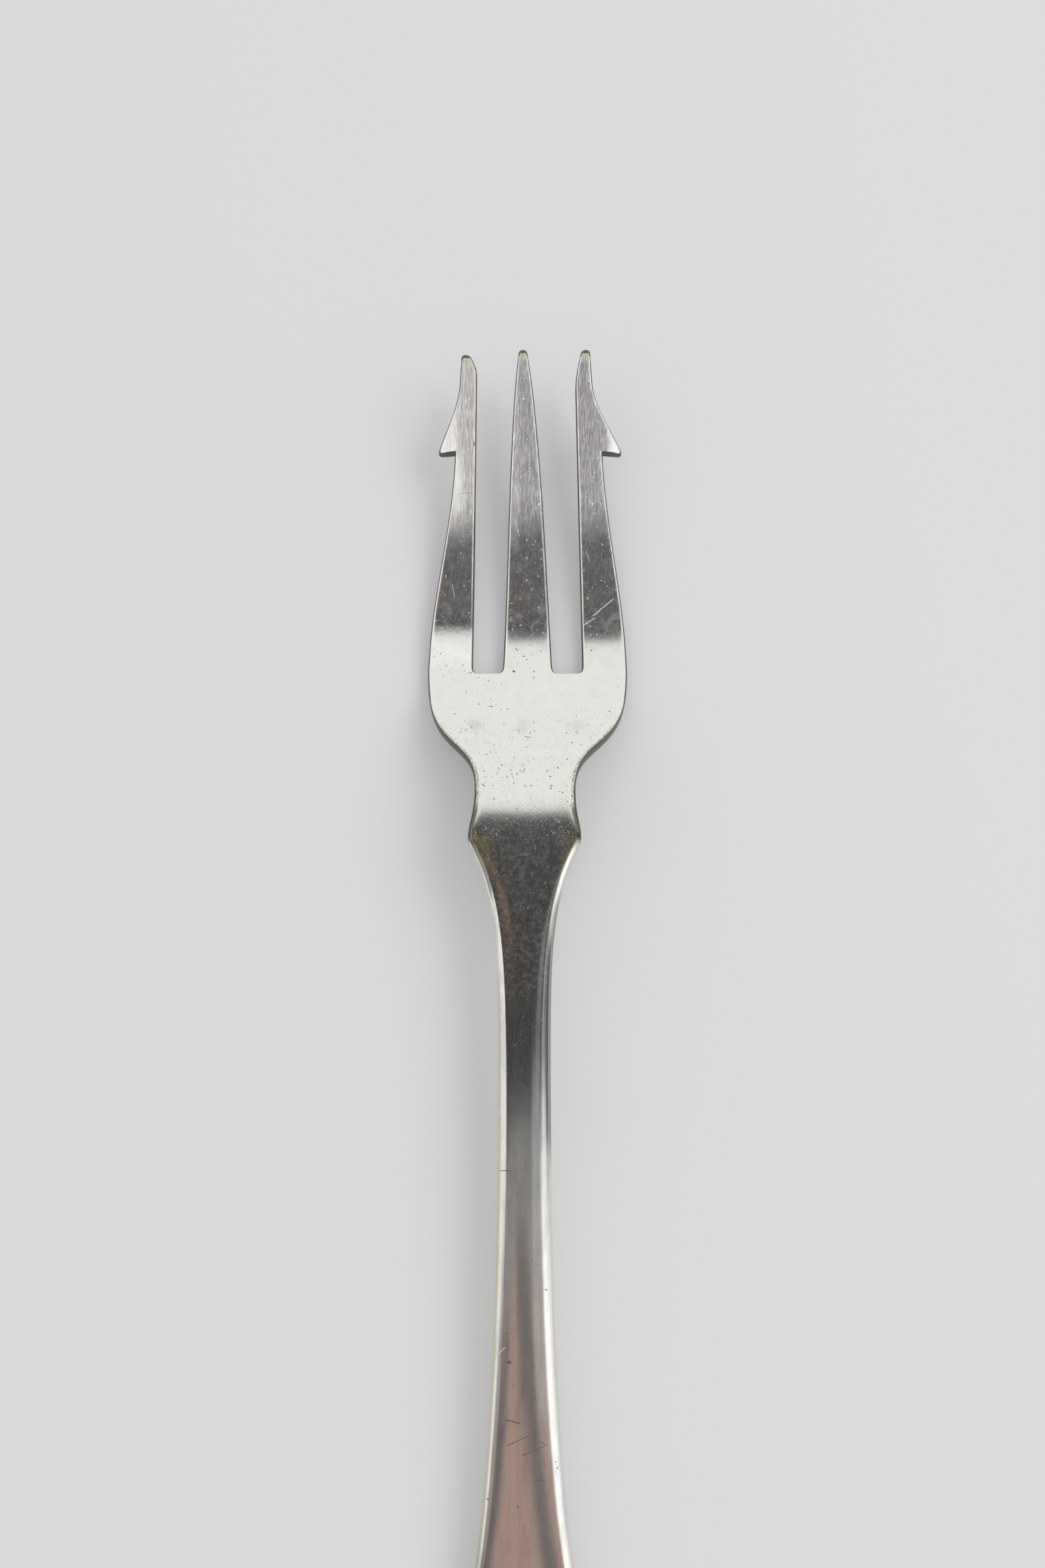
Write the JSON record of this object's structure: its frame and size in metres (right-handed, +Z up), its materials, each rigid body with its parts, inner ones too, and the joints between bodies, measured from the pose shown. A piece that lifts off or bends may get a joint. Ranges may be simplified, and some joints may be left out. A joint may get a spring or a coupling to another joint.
{
  "type": "pickle fork",
  "caption": "Slim silver-plated pickle fork with pointed tines, outward barbs on the outer tines, a shallow bowl, a bent neck and a long handle that widens to a round end.",
  "frame": {"origin": "on the table, under the middle of the fork's length and width", "axes": "+Y along the fork from the handle to the tips, +X to the right seen from above, +Z up from the table"},
  "size_m": [0.0192, 0.1528, 0.0074],
  "materials": {
    "silver_plate": "worn silver plate with fine scratches, small pits and a yellowed edge"
  },
  "bodies": {
    "root": {"pickle_fork": "silver_plate"}
  },
  "joints": []
}
